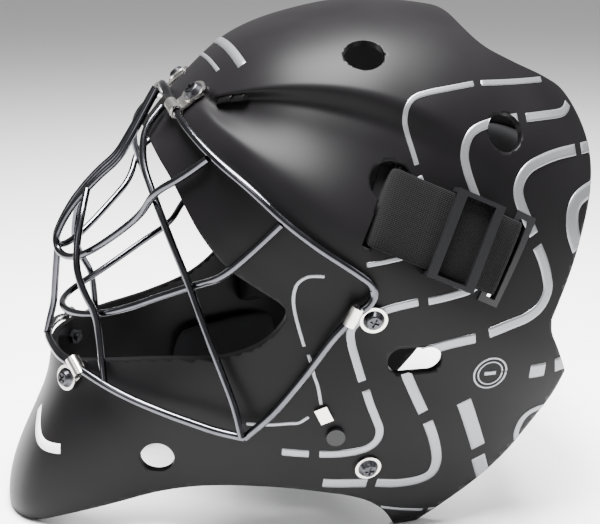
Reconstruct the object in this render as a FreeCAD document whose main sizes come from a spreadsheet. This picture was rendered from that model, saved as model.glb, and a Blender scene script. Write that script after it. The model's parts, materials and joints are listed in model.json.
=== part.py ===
import FreeCAD, Part
import math
import os

# Field-hockey goalkeeper's mask: a thin moulded helmet shell with a welded wire cage,
# a sliding rear cup on elastic side straps, and glued foam pads inside.
# Millimetres. +Z is up, the mask faces -Y and the wearer's left is +X.
# The origin is under the middle of the mask, on the surface that it stands on.

doc = FreeCAD.newDocument("GoalieMask")
V = FreeCAD.Vector

# ---------------------------------------------------------------- driving sizes
SIZES = [
    ("hubY", 20.0), ("hubZ", 150.0),
    ("halfWidth", 118.0), ("fullness", 2.4),
    ("shellWall", 3.6), ("shellLength", 326.0),
    ("wireRadius", 2.2), ("barRadius", 2.0),
    ("centreShift", 4.76), ("ventRadius", 10.5), ("templeHoleRadius", 11.0),
    ("earSlotRadius", 7.5), ("earSlotLength", 22.0),
    ("strapWidth", 40.0), ("strapThick", 2.4),
    ("strapSlotWidth", 43.0), ("strapSlotGap", 5.0),
    ("buckleWidth", 47.0), ("buckleLength", 27.0), ("buckleThick", 5.5), ("buckleBar", 5.0),
    ("screwHeadRadius", 5.6), ("screwHeadHeight", 3.0), ("screwShankRadius", 2.4), ("screwShankLength", 12.0),
    ("washerRadius", 7.2), ("washerThick", 1.2),
    ("nutRadius", 5.0), ("nutThick", 3.0),
    ("clipWidth", 11.0), ("clipLength", 17.0), ("clipThick", 1.4),
    ("padGap", 0.6), ("padThick", 12.0),
    ("cupWall", 3.2), ("cupGap", 1.2), ("cupPadThick", 10.0),
]
sheet = doc.addObject("Spreadsheet::Sheet", "Dims")
for rowNumber, (alias, value) in enumerate(SIZES):
    cell = "B%d" % (rowNumber + 1)
    sheet.set("A%d" % (rowNumber + 1), alias)
    sheet.set(cell, repr(value))
    sheet.setAlias(cell, alias)
doc.recompute()


def size(alias):
    return float(getattr(sheet, alias))


HUB_Y = size("hubY")
HUB_Z = size("hubZ")
HALF_WIDTH = size("halfWidth")
FULLNESS = size("fullness")
WALL = size("shellWall")

# Side outline of the moulding: distance from the hub every ten degrees, counted from
# straight back, over the crown, down the front and under the jaw. These are the
# control values of a closed uniform cubic spline.
OUTLINE = [
    198, 195, 191, 183, 176, 166, 157, 148, 142, 135, 131, 127,
    120, 117, 114, 119, 123, 128, 134, 145, 158, 174, 250, 221,
    214, 204, 200, 198, 199, 203, 207, 211, 213, 212, 209, 203,
]


def smooth(value):
    # smooth step: 0 below 0, 1 above 1, eased between
    value = max(0.0, min(1.0, value))
    return value * value * (3.0 - 2.0 * value)


def outlineRadius(angle):
    # closed uniform cubic spline over the angle
    place = (angle / (2.0 * math.pi) * len(OUTLINE)) % len(OUTLINE)
    index = int(place)
    part = place - index
    a, b, c, d = [OUTLINE[(index + k) % len(OUTLINE)] for k in (-1, 0, 1, 2)]
    wa = (1.0 - part) ** 3
    wb = 3.0 * part ** 3 - 6.0 * part ** 2 + 4.0
    wc = -3.0 * part ** 3 + 3.0 * part ** 2 + 3.0 * part + 1.0
    wd = part ** 3
    return (wa * a + wb * b + wc * c + wd * d) / 6.0


def foldHeight(y):
    # upper, sharp edge of the temple hollow
    return 249.0 - 0.0038 * (y - 2.0) ** 2


def ridgeHeight(y):
    # convex ridge running from the brow down to the rear notch
    return 199.0 - 0.80 * y + 0.0010 * y * y


def sideInset(y, z):
    # how far the side is pressed in: temple hollow above the ridge, undercut below it
    fold = foldHeight(y)
    ridge = ridgeHeight(y)
    across = (z - ridge) / max(14.0, fold - ridge)
    depth = 10.0 * smooth((118.0 - y) / 105.0)
    hollow = depth * smooth(across / 0.72) * (1.0 - smooth((across - 0.84) / 0.24))
    under = 7.0 * smooth((ridge - z) / 60.0)
    return hollow + under


def skinPoint(beta, lam):
    # Superellipse between the side outline and the half width, seen from the hub.
    # beta turns about the front-to-back line (0 = crown, 90 = left ear, 180 = chin),
    # lam opens from straight ahead (0) to straight back (180).
    dx = math.sin(beta) * math.sin(lam)
    dy = -math.cos(lam)
    dz = math.cos(beta) * math.sin(lam)
    inPlane = math.hypot(dy, dz)
    reach = (abs(dx) / HALF_WIDTH) ** FULLNESS
    reach += (inPlane / outlineRadius(math.atan2(dz, dy))) ** FULLNESS
    reach = reach ** (-1.0 / FULLNESS)
    x = reach * dx
    y = HUB_Y + reach * dy
    z = HUB_Z + reach * dz
    # the face and chin are narrower than the ears
    narrow = (0.14 + 0.19 * smooth((190.0 - z) / 80.0)) * smooth((25.0 - y) / 110.0)
    x *= 1.0 - narrow
    inset = sideInset(y, z) * smooth((abs(x) - 28.0) / 45.0)
    x -= math.copysign(inset, x)
    return V(x, y, z)


def skinNormal(beta, lam):
    step = 0.004
    across = skinPoint(beta + step, lam) - skinPoint(beta - step, lam)
    along = skinPoint(beta, lam + step) - skinPoint(beta, lam - step)
    normal = across.cross(along)
    normal.normalize()
    outward = skinPoint(beta, lam) - V(0, HUB_Y, HUB_Z)
    if normal.dot(outward) < 0:
        normal = normal * -1.0
    return normal


def layerPoint(beta, lam, depth):
    # point a given depth inside the outer skin
    return skinPoint(beta, lam) - skinNormal(beta, lam) * depth


def skinAt(y, z, side, depth=0.0):
    # skin point that is seen at (y, z) from the side, found by closing in on its direction
    ty, tz = y, z
    for turn in range(40):
        dy = ty - HUB_Y
        dz = tz - HUB_Z
        inPlane = math.hypot(dy, dz)
        radius = outlineRadius(math.atan2(dz, dy))
        fraction = min(0.999, inPlane / radius)
        dx = HALF_WIDTH * (1.0 - fraction ** FULLNESS) ** (1.0 / FULLNESS)
        lam = math.acos(-dy / math.sqrt(dx * dx + dy * dy + dz * dz))
        beta = math.atan2(dx, dz)
        here = layerPoint(beta, lam, depth)
        if abs(here.y - y) + abs(here.z - z) < 0.01:
            break
        ty += (y - here.y) * 0.8
        tz += (z - here.z) * 0.8
    normal = skinNormal(beta, lam)
    if side < 0:
        return V(-here.x, here.y, here.z), V(-normal.x, normal.y, normal.z)
    return here, normal


def closeBetween(outerRows, innerRows):
    # closed solid between two point grids: two smooth faces and four ruled edges
    surfaces = []
    for rows in (outerRows, innerRows):
        surface = Part.BSplineSurface()
        surface.interpolate(rows)
        surfaces.append(surface)
    faces = [surface.toShape() for surface in surfaces]
    u0, u1, v0, v1 = surfaces[0].bounds()
    a0, a1, b0, b1 = surfaces[1].bounds()
    sides = [(surfaces[0].uIso(u0), surfaces[1].uIso(a0)), (surfaces[0].uIso(u1), surfaces[1].uIso(a1)),
             (surfaces[0].vIso(v0), surfaces[1].vIso(b0)), (surfaces[0].vIso(v1), surfaces[1].vIso(b1))]
    for first, second in sides:
        a, b = first.toShape(), second.toShape()
        flat = max(abs(a.BoundBox.XMax), abs(a.BoundBox.XMin), abs(b.BoundBox.XMax), abs(b.BoundBox.XMin)) < 1e-6
        if flat:
            # the closing face on the middle plane
            caps = [Part.makeLine(a.valueAt(t), b.valueAt(t)) for t in (a.FirstParameter, a.LastParameter)]
            faces.append(Part.Face(Part.Wire(Part.__sortEdges__([a, b] + caps))))
        else:
            faces.append(Part.makeRuledSurface(a, b))
    skin = Part.makeShell(faces)
    skin.sewShape()
    solid = Part.makeSolid(Part.Shell(skin.Faces))
    if solid.Volume < 0:
        solid.reverse()
    return solid


def layerSolid(betas, lams, outerDepth, innerDepth):
    # closed solid between two depths over a patch of the skin
    outer = [[layerPoint(b, l, outerDepth) for l in lams] for b in betas]
    inner = [[layerPoint(b, l, innerDepth) for l in lams] for b in betas]
    return closeBetween(outer, inner)


def spread(low, high, count):
    return [math.radians(low + (high - low) * k / (count - 1.0)) for k in range(count)]


def feature(name, shape):
    piece = doc.addObject("Part::Feature", name)
    piece.Label = name
    piece.Shape = shape
    piece.Placement = shape.Placement
    return piece


def prism(points, rounded=False):
    # closed outline in the side view, carried across the whole width
    vectors = [V(-160, y, z) for y, z in points]
    if rounded:
        curve = Part.BSplineCurve()
        curve.interpolate(vectors, PeriodicFlag=True)
        wire = Part.Wire([curve.toShape()])
    else:
        wire = Part.makePolygon(vectors + [vectors[0]])
    return Part.Face(wire).extrude(V(320, 0, 0))


def splineEdge(vectors):
    curve = Part.BSplineCurve()
    curve.interpolate(vectors)
    return curve.toShape()


def mixedPrism(runs):
    # outline of straight and smooth runs; each run starts where the last one ended
    edges = []
    last = None
    first = None
    for kind, points in runs:
        vectors = [V(-160, y, z) for y, z in points]
        if last is not None:
            vectors = [last] + vectors
        if first is None:
            first = vectors[0]
        if kind == "smooth":
            edges.append(splineEdge(vectors))
        else:
            for a, b in zip(vectors[:-1], vectors[1:]):
                edges.append(Part.makeLine(a, b))
        last = vectors[-1]
    edges.append(Part.makeLine(last, first))
    return Part.Face(Part.Wire(edges)).extrude(V(320, 0, 0))


def bind(obj, **expressions):
    for name, expression in expressions.items():
        obj.setExpression(name, expression)
    return obj


def primitive(kind, name, **expressions):
    return bind(doc.addObject(kind, name), **expressions)


def boolean(kind, name, base, tool):
    piece = doc.addObject(kind, name)
    piece.Base = base
    piece.Tool = tool
    return piece


def fused(name, pieces):
    piece = doc.addObject("Part::MultiFuse", name)
    piece.Shapes = pieces
    return piece


def originPlane(body, role):
    return [item for item in body.Origin.OriginFeatures if item.Role == role][0]


def newSketch(body, name, role="XY_Plane"):
    sketch = body.newObject("Sketcher::SketchObject", name)
    sketch.AttachmentSupport = [(originPlane(body, role), "")]
    sketch.MapMode = "FlatFace"
    return sketch


def addCircle(sketch, radius, x=0.0, y=0.0, expression=None):
    number = sketch.addGeometry(Part.Circle(V(x, y, 0), V(0, 0, 1), radius), False)
    index = sketch.addConstraint(Sketcher.Constraint("Radius", number, radius))
    if expression:
        sketch.setExpression("Constraints[%d]" % index, expression)
    if x == 0.0 and y == 0.0:
        sketch.addConstraint(Sketcher.Constraint("Coincident", number, 3, -1, 1))
    return number


def addRectangle(sketch, wide, high, wideExpression=None, highExpression=None):
    corners = [V(-wide / 2, -high / 2, 0), V(wide / 2, -high / 2, 0), V(wide / 2, high / 2, 0), V(-wide / 2, high / 2, 0)]
    first = sketch.GeometryCount
    for k in range(4):
        sketch.addGeometry(Part.LineSegment(corners[k], corners[(k + 1) % 4]), False)
    for k in range(4):
        sketch.addConstraint(Sketcher.Constraint("Coincident", first + k, 2, first + (k + 1) % 4, 1))
    for k in (0, 2):
        sketch.addConstraint(Sketcher.Constraint("Horizontal", first + k))
    for k in (1, 3):
        sketch.addConstraint(Sketcher.Constraint("Vertical", first + k))
    sketch.addConstraint(Sketcher.Constraint("Symmetric", first, 1, first + 2, 1, -1, 1))
    index = sketch.addConstraint(Sketcher.Constraint("DistanceX", first, 1, first, 2, wide))
    if wideExpression:
        sketch.setExpression("Constraints[%d]" % index, wideExpression)
    index = sketch.addConstraint(Sketcher.Constraint("DistanceY", first + 1, 1, first + 1, 2, high))
    if highExpression:
        sketch.setExpression("Constraints[%d]" % index, highExpression)
    return first


def pad(body, sketch, name, length, expression=None, symmetric=False):
    step = body.newObject("PartDesign::Pad", name)
    step.Profile = sketch
    step.Length = length
    if expression:
        step.setExpression("Length", expression)
    if symmetric:
        step.Midplane = True
    sketch.Visibility = False
    return step


def frameAt(point, normal, along):
    # placement whose Z is the outward normal and whose X lies as near as it can to along
    zAxis = V(normal)
    zAxis.normalize()
    xAxis = along - zAxis * along.dot(zAxis)
    xAxis.normalize()
    yAxis = zAxis.cross(xAxis)
    matrix = FreeCAD.Matrix(xAxis.x, yAxis.x, zAxis.x, point.x, xAxis.y, yAxis.y, zAxis.y, point.y,
                            xAxis.z, yAxis.z, zAxis.z, point.z, 0, 0, 0, 1)
    return FreeCAD.Placement(matrix)


def copies(template, placements):
    shapes = []
    for placement in placements:
        shape = template.Shape.copy()
        shape.Placement = placement.multiply(template.Shape.Placement)
        shapes.append(shape)
    return Part.makeCompound(shapes) if len(shapes) > 1 else shapes[0]


import Sketcher

# ---------------------------------------------------------------- where things sit
# Side-view places (y, z) of the pieces on each side of the shell.
CAGE_FIXINGS = {
    "forehead": {"screw": (-45.0, 243.0), "wire": (-55.0, 237.0)},
    "side": {"screw": (34.0, 137.0), "wire": (21.0, 143.0)},
    "chin": {"screw": (-119.0, 88.0), "wire": (-115.0, 98.0)},
}
CROWN_VENT = (37.0, 266.0)
REAR_VENT = (107.0, 227.0)
TEMPLE_HOLE = (44.0, 205.0)
CHIN_VENT = (-74.0, 46.0)
EAR_SLOT = (58.0, 111.0)
JAW_SCREW = (36.0, 48.0)
STRAP_FRONT = (38.0, 194.0)
STRAP_REAR = (106.0, 163.0)
TAB_PLACE = (11.0, 82.0)
TAB_SCREW = (17.0, 70.0)


def alongSkin(start, end, side):
    a = skinAt(start[0], start[1], side)[0]
    b = skinAt(end[0], end[1], side)[0]
    return b - a


def drill(name, place, side, radius, expression, sink=40.0):
    # round cutter square to the skin
    point, normal = skinAt(place[0], place[1], side)
    cutter = primitive("Part::Cylinder", name)
    cutter.Radius = radius
    cutter.setExpression("Radius", expression)
    cutter.Height = sink
    frame = frameAt(point - normal * (sink / 2.0), normal, V(0, 1, 0))
    cutter.Placement = frame
    return cutter


def slotCutter(name, start, end, side, width, expression, height, heightExpression):
    # flat slot square to the skin, its long side from start to end
    middle = (0.5 * (start[0] + end[0]), 0.5 * (start[1] + end[1]))
    point, normal = skinAt(middle[0], middle[1], side)
    along = alongSkin(start, end, side)
    cutter = primitive("Part::Box", name)
    cutter.Length = height
    cutter.Width = width
    cutter.Height = 40.0
    cutter.setExpression("Length", heightExpression)
    cutter.setExpression("Width", expression)
    frame = frameAt(point, normal, along)
    cutter.Placement = frame.multiply(FreeCAD.Placement(V(-height / 2, -width / 2, -20), FreeCAD.Rotation()))
    return cutter


def stadiumCutter(name, place, toward, side, length, radius):
    # round-ended slot square to the skin
    point, normal = skinAt(place[0], place[1], side)
    half = length / 2.0 - radius / 2.0
    low = [V(-half, -radius, -20), V(half, -radius, -20), V(half + radius, 0, -20), V(half, radius, -20),
           V(-half, radius, -20), V(-half - radius, 0, -20)]
    edges = [Part.makeLine(low[0], low[1]), Part.Arc(low[1], low[2], low[3]).toShape(),
             Part.makeLine(low[3], low[4]), Part.Arc(low[4], low[5], low[0]).toShape()]
    cutter = feature(name, Part.Face(Part.Wire(edges)).extrude(V(0, 0, 40)))
    cutter.Placement = frameAt(point, normal, alongSkin(place, toward, side))
    return cutter


# ---------------------------------------------------------------- shell
def makeShell():
    lams = spread(16.0, 153.0, 46)
    rightHalf = layerSolid(spread(0.0, 180.0, 52), lams, 0.0, WALL)
    leftHalf = rightHalf.mirror(V(0, 0, 0), V(1, 0, 0))
    blank = feature("shell_blank", rightHalf.fuse(leftHalf).removeSplitter())
    sideView = feature("shell_side_view", mixedPrism([
        ("straight", [(-220, 330), (95, 330), (95, 286)]),
        ("smooth", [(98, 277), (106, 268), (121, 260), (141, 251), (153, 243), (161, 228),
                    (164, 212), (162, 194), (156, 175), (148, 153), (136, 126)]),
        ("smooth", [(137, 118), (142, 108), (149, 93)]),
        ("smooth", [(141, 74), (124, 48), (105, 28), (86, 12), (72, 0)]),
        ("straight", [(58, 0)]),
        ("smooth", [(49, 14), (37, 24), (19, 31), (-6, 34), (-37, 31), (-68, 24), (-96, 16), (-124, 8), (-146, 0)]),
        ("straight", [(-220, 0)]),
    ]))
    outline = doc.addObject("Part::Common", "shell_outline")
    outline.Base = blank
    outline.Tool = sideView
    face = feature("face_opening", mixedPrism([
        ("straight", [(-220, 226), (-72, 223)]),
        ("smooth", [(-67, 212), (-61, 201), (-50, 178), (-37, 161), (-23, 151), (-11, 143), (-9, 136),
                    (-17, 124), (-29, 115), (-44, 109), (-65, 105.5), (-85, 103), (-101, 101), (-118, 98)]),
        ("straight", [(-220, 94)]),
    ]))
    opened = boolean("Part::Cut", "shell_opened", outline, face)
    cutters = []
    for side, tag in ((1, "left"), (-1, "right")):
        cutters.append(drill("crown_vent_" + tag, CROWN_VENT, side, 10.5, "Dims.ventRadius"))
        cutters.append(drill("rear_vent_" + tag, REAR_VENT, side, 10.5, "Dims.ventRadius"))
        cutters.append(drill("chin_vent_" + tag, CHIN_VENT, side, 9.5, "Dims.ventRadius - 1"))
        cutters.append(drill("temple_hole_" + tag, TEMPLE_HOLE, side, 11.0, "Dims.templeHoleRadius"))
        cutters.append(stadiumCutter("ear_slot_" + tag, EAR_SLOT, (EAR_SLOT[0] + 6, EAR_SLOT[1]), side,
                                     size("earSlotLength"), size("earSlotRadius")))
        for end, place in (("front", STRAP_FRONT), ("rear", STRAP_REAR)):
            ahead = (place[0] + 8.9, place[1] - 4.5)
            behind = (place[0] - 8.9, place[1] + 4.5)
            cutters.append(slotCutter("strap_slot_%s_%s" % (end, tag), behind, ahead, side,
                                      43.0, "Dims.strapSlotWidth", 5.0, "Dims.strapSlotGap"))
        for fixing in CAGE_FIXINGS:
            cutters.append(drill("bolt_hole_%s_%s" % (fixing, tag), CAGE_FIXINGS[fixing]["screw"], side,
                                 2.7, "Dims.screwShankRadius + 0.3", 24.0))
        cutters.append(drill("bolt_hole_jaw_" + tag, JAW_SCREW, side, 2.7, "Dims.screwShankRadius + 0.3", 24.0))
    tools = doc.addObject("Part::Compound", "shell_cutters")
    tools.Links = cutters
    shell = boolean("Part::Cut", "shell", opened, tools)
    return shell


# ---------------------------------------------------------------- pads
def makePad(name, betas, lams, thickness):
    # foam block: its back follows the shell, its face is moved straight towards the head's centre
    hub = V(0, HUB_Y, HUB_Z)
    back = [[layerPoint(b, l, WALL + size("padGap") + 0.3) for l in spread(lams[0], lams[1], 9)]
            for b in spread(betas[0], betas[1], 11)]
    front = [[p + (hub - p).normalize() * thickness for p in row] for row in back]
    return feature(name, closeBetween(back, front))


def makePads():
    thick = size("padThick")
    pieces = [makePad("forehead_pad", (-33, 33), (62, 80), thick),
              makePad("crown_pad", (-21, 21), (86, 114), thick),
              makePad("chin_pad", (166, 194), (25, 36), thick * 0.8)]
    for tag, sign in (("left", 1), ("right", -1)):
        for name, betas, lams in (("temple_pad_", (50, 82), (68, 88)), ("cheek_pad_", (103, 121), (79, 93)),
                                  ("jaw_pad_", (125, 138), (62, 90))):
            pieces.append(makePad(name + tag, (betas[0] * sign, betas[1] * sign), lams, thick))
    return pieces


# ---------------------------------------------------------------- wire cage
# Routes are the centre lines of the left-hand wires; the right-hand ones mirror them.
RIM_UPPER = [(0, -60, 246), (23, -57, 239), (38, -53, 233), (57, -49, 226), (77, -39, 215), (95, -21, 201),
             (105, -8, 188), (112, 7, 176), (117, 22, 165), (119, 31, 157.5), (119.5, 33.5, 151.5), (119.5, 30.5, 146),
             (119, 23, 141), (116, 13, 129), (110, -1, 106), (103, -16, 84), (96, -30, 69)]
RIM_LOWER = [(96, -30, 69), (90, -44, 71), (79, -70, 79), (69, -88, 85), (59, -101, 90), (46, -113, 96),
             (34, -120, 99), (20, -128, 101.5), (0, -131, 102)]
SIDE_BAR = [(24, -62, 235), (30, -70, 222), (40, -75, 208), (53, -70, 191), (64, -63, 170), (73, -55, 148),
            (81, -49, 128), (88, -42, 107), (94, -35, 86), (98, -32, 70)]
BROW_BAR = [(5, -63, 242), (8, -76, 220), (9, -86, 204), (9, -96, 196), (8, -104, 188)]
MOUTH_BAR = [(8, -104, 188), (19, -107, 179), (29, -111, 164), (35, -112.5, 149), (40, -109, 137), (44, -103, 125),
             (48, -102, 112), (52, -101.5, 100), (58, -101, 91)]
EYE_BAR = [(76, -41, 214), (68, -53, 203), (57, -64, 192), (48, -77, 181), (40, -90, 169), (31, -102, 159),
           (23, -111, 153), (14, -118, 151), (6, -122, 153), (3.6, -123, 159), (4, -119, 168), (6, -112, 179),
           (8, -104, 188)]
CROSS_BAR = [(103, -9, 187), (92, -22, 171), (82, -35, 157), (71, -51, 147), (61, -69, 139), (52, -85, 131),
             (42, -99, 125), (30, -111, 121.5), (16, -119, 120), (0, -122, 119.5)]
CENTRE_BAR = [(0, -122, 154), (0, -124, 138), (0, -126, 120), (0, -129, 110), (0, -131, 102)]


def liftOff(route, count, need):
    # the first points of a route are held clear of the shell by at least the stated distance
    lifted = []
    for k, (x, y, z) in enumerate(route):
        if k < count and x > 25.0:
            point, normal = skinAt(y, z, 1)
            clear = (x - point.x) * normal.x
            push = max(0.0, need - clear)
            x, y, z = x + normal.x * push, y + normal.y * push, z + normal.z * push
        lifted.append((x, y, z))
    return lifted


SIDE_BAR = liftOff(SIDE_BAR, 2, 4.4)
RIM_UPPER = liftOff(RIM_UPPER, len(RIM_UPPER), 4.0)
RIM_LOWER = liftOff(RIM_LOWER, 7, 4.0)
EYE_BAR = liftOff(EYE_BAR, 3, 4.4)
CROSS_BAR = liftOff(CROSS_BAR, 3, 3.6)


def wirePoints(route, side):
    return [V(x * side, y, z) for x, y, z in route]


def bendRoute(points):
    # straight runs joined by arcs that touch both: a wire bent at each listed point
    edges = []
    last = points[0]
    for k in range(1, len(points) - 1):
        before, corner, after = points[k - 1], points[k], points[k + 1]
        back = before - corner
        ahead = after - corner
        reach = 0.49 * min(back.Length, ahead.Length)
        start = corner + V(back).normalize() * reach
        end = corner + V(ahead).normalize() * reach
        bend = V(back).normalize() + V(ahead).normalize()
        if bend.Length < 0.01:
            continue
        half = 0.5 * back.getAngle(ahead)
        radius = reach * math.tan(half)
        centre = corner + V(bend).normalize() * (reach / math.cos(half))
        middle = centre + (corner - centre).normalize() * radius
        if (start - last).Length > 1e-4:
            edges.append(Part.makeLine(last, start))
        edges.append(Part.Arc(start, middle, end).toShape())
        last = end
    edges.append(Part.makeLine(last, points[-1]))
    return Part.Wire(edges)


def bentWire(name, points, expression, radius):
    # round wire carried along its bent route
    route = feature(name + "_route", bendRoute(points))
    ring = doc.addObject("Part::Circle", name + "_section")
    ring.Radius = radius
    ring.setExpression("Radius", expression)
    ring.Placement = frameAt(points[0], points[1] - points[0], V(0.3, 0.2, 1.0))
    sweep = doc.addObject("Part::Sweep", name)
    sweep.Sections = [ring]
    sweep.Spine = (route, ["Edge%d" % (k + 1) for k in range(len(route.Shape.Edges))])
    sweep.Solid = True
    sweep.Frenet = False
    return sweep


def throughMiddle(route):
    # a wire that crosses the middle plane: right-hand half, middle point, left-hand half
    half = [V(-x, y, z) for x, y, z in route[:-1]]
    x, y, z = route[-1]
    other = [V(a, b, c) for a, b, c in reversed(route[:-1])]
    return half + [V(x, y, z)] + other


def makeCage():
    pieces = [bentWire("cage_lower_rim", throughMiddle(RIM_LOWER), "Dims.wireRadius", 2.2),
              bentWire("cage_cross_bar", throughMiddle(CROSS_BAR), "Dims.barRadius", 2.0),
              bentWire("cage_centre_bar", wirePoints(CENTRE_BAR, 1), "Dims.barRadius", 2.0)]
    upper = [(x, y, z) for x, y, z in reversed(RIM_UPPER)]
    pieces.append(bentWire("cage_upper_rim", throughMiddle(upper), "Dims.wireRadius", 2.2))
    for side, tag in ((1, "left"), (-1, "right")):
        pieces.append(bentWire("cage_side_bar_" + tag, wirePoints(SIDE_BAR, side), "Dims.barRadius", 2.0))
        pieces.append(bentWire("cage_brow_bar_" + tag, wirePoints(BROW_BAR, side), "Dims.barRadius", 2.0))
        pieces.append(bentWire("cage_mouth_bar_" + tag, wirePoints(MOUTH_BAR, side), "Dims.barRadius", 2.0))
        pieces.append(bentWire("cage_eye_bar_" + tag, wirePoints(EYE_BAR, side), "Dims.barRadius", 2.0))
    return pieces


# ---------------------------------------------------------------- fasteners and clips
def screwTemplate():
    shank = primitive("Part::Cylinder", "screw_shank", Radius="Dims.screwShankRadius")
    shank.Height = 12.0
    shank.setExpression("Height", "Dims.screwShankLength")
    shank.Placement = FreeCAD.Placement(V(0, 0, -12.0), FreeCAD.Rotation())
    dome = primitive("Part::Cone", "screw_dome", Radius1="Dims.screwHeadRadius", Height="Dims.screwHeadHeight")
    dome.Radius2 = 3.6
    doc.recompute()
    rounded = doc.addObject("Part::Fillet", "screw_head")
    rounded.Base = dome
    top = [k + 1 for k, edge in enumerate(dome.Shape.Edges)
           if len(edge.Vertexes) == 1 and edge.BoundBox.ZMin > 1.0]
    rounded.Edges = [(k, 1.2, 1.2) for k in top]
    slotA = primitive("Part::Box", "screw_slot_a")
    slotA.Length, slotA.Width, slotA.Height = 5.0, 1.1, 1.6
    slotA.Placement = FreeCAD.Placement(V(-2.5, -0.55, 1.9), FreeCAD.Rotation())
    slotB = primitive("Part::Box", "screw_slot_b")
    slotB.Length, slotB.Width, slotB.Height = 1.1, 5.0, 1.6
    slotB.Placement = FreeCAD.Placement(V(-0.55, -2.5, 1.9), FreeCAD.Rotation())
    recess = fused("screw_recess", [slotA, slotB])
    solid = fused("screw_solid", [shank, rounded])
    return boolean("Part::Cut", "screw_template", solid, recess)


def ringBody(name, outer, outerExpression, inner, innerExpression, thick, thickExpression):
    body = doc.addObject("PartDesign::Body", name)
    sketch = newSketch(body, name + "_outline")
    addCircle(sketch, outer, expression=outerExpression)
    addCircle(sketch, inner, expression=innerExpression)
    pad(body, sketch, name + "_plate", thick, thickExpression)
    return body


def clipTemplate():
    # P-clip: a loop round the wire (along Y) and a flat tab with a screw hole
    body = doc.addObject("PartDesign::Body", "clip_template")
    profile = newSketch(body, "clip_loop", "XZ_Plane")
    addCircle(profile, 3.7, expression="Dims.wireRadius + Dims.clipThick + 0.1")
    addCircle(profile, 2.3, expression="Dims.wireRadius + 0.1")
    pad(body, profile, "clip_loop_band", 11.0, "Dims.clipWidth", symmetric=True)
    return body


def tabTemplate():
    body = doc.addObject("PartDesign::Body", "tab_template")
    outline = newSketch(body, "tab_outline")
    addRectangle(outline, 19.0, 11.0, None, "Dims.clipWidth")
    pad(body, outline, "tab_plate", 1.4, "Dims.clipThick")
    return body


def nutTemplate():
    nut = primitive("Part::Prism", "nut_blank", Circumradius="Dims.nutRadius", Height="Dims.nutThick")
    nut.Polygon = 6
    bore = primitive("Part::Cylinder", "nut_bore", Radius="Dims.screwShankRadius + 0.05")
    bore.Height = 10.0
    bore.Placement = FreeCAD.Placement(V(0, 0, -2), FreeCAD.Rotation())
    return boolean("Part::Cut", "nut_template", nut, bore)


def makeFixings():
    screw = screwTemplate()
    washer = ringBody("washer_template", 7.2, "Dims.washerRadius", 2.6, "Dims.screwShankRadius + 0.2",
                      1.2, "Dims.washerThick")
    nut = nutTemplate()
    loop = clipTemplate()
    tab = tabTemplate()
    doc.recompute()
    pieces = []
    screwFrames, washerFrames, nutFrames = [], [], []
    jawScrewFrames, jawWasherFrames, jawNutFrames = [], [], []
    lift = size("clipThick") + 0.5
    for fixing, spots in CAGE_FIXINGS.items():
        for side, tag in ((1, "left"), (-1, "right")):
            point, normal = skinAt(spots["screw"][0], spots["screw"][1], side)
            wire = nearestOnCage(spots["wire"], side)
            reach = wire - point
            height = reach.dot(normal)
            along = reach - normal * height
            length = along.Length
            tabFrame = frameAt(point + normal * 0.4, normal, along)
            blank = tab.Shape.copy()
            blank.Placement = tabFrame.multiply(FreeCAD.Placement(V(length / 2.0 - 1.0, 0, 0), FreeCAD.Rotation()))
            hole = Part.makeCylinder(size("screwShankRadius") + 0.25, 8, point - normal * 3, normal)
            band = loop.Shape.copy()
            band.Placement = frameAt(wire, normal, along)
            inside = Part.makeCylinder(size("wireRadius") + 0.1, 30, wire - band.Placement.Rotation.multVec(
                V(0, 15, 0)), band.Placement.Rotation.multVec(V(0, 1, 0)))
            clip = blank.cut(hole).fuse(band).cut(inside).removeSplitter()
            if len(clip.Solids) > 1:
                clip = max(clip.Solids, key=lambda s: s.Volume)
            pieces.append(feature("%s_clip_%s" % (fixing, tag), clip))
            washerFrames.append(frameAt(point + normal * (0.45 + size("clipThick")), normal, along))
            screwFrames.append(frameAt(point + normal * (0.5 + size("clipThick") + size("washerThick")), normal, along))
            nutFrames.append(frameAt(point - normal * (WALL + 0.35 + size("nutThick")), normal, along))
    for side in (1, -1):
        point, normal = skinAt(JAW_SCREW[0], JAW_SCREW[1], side)
        jawWasherFrames.append(frameAt(point + normal * 0.35, normal, V(0, 0, 1)))
        jawScrewFrames.append(frameAt(point + normal * (0.4 + size("washerThick")), normal, V(0, 0, 1)))
        jawNutFrames.append(frameAt(point - normal * (WALL + 0.35 + size("nutThick")), normal, V(0, 0, 1)))
    pieces.append(feature("cage_screws", copies(screw, screwFrames)))
    pieces.append(feature("cage_washers", copies(washer, washerFrames)))
    pieces.append(feature("cage_nuts", copies(nut, nutFrames)))
    pieces.append(feature("jaw_screws", copies(screw, jawScrewFrames)))
    pieces.append(feature("jaw_washers", copies(washer, jawWasherFrames)))
    pieces.append(feature("jaw_nuts", copies(nut, jawNutFrames)))
    return pieces


def nearestOnCage(place, side):
    # point of the rim wire that is seen closest to (y, z) from the side
    best = None
    for route in (RIM_UPPER, RIM_LOWER):
        curve = splineEdge([V(x, y, z) for x, y, z in route])
        for k in range(401):
            spot = curve.valueAt(curve.FirstParameter + (curve.LastParameter - curve.FirstParameter) * k / 400.0)
            gap = math.hypot(spot.y - place[0], spot.z - place[1])
            if best is None or gap < best[0]:
                best = (gap, spot)
    spot = best[1]
    return V(spot.x * side, spot.y, spot.z)


# ---------------------------------------------------------------- straps, buckles, rear cup
CUP_EAR = (79.0, 140.0, 166.0)


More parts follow.
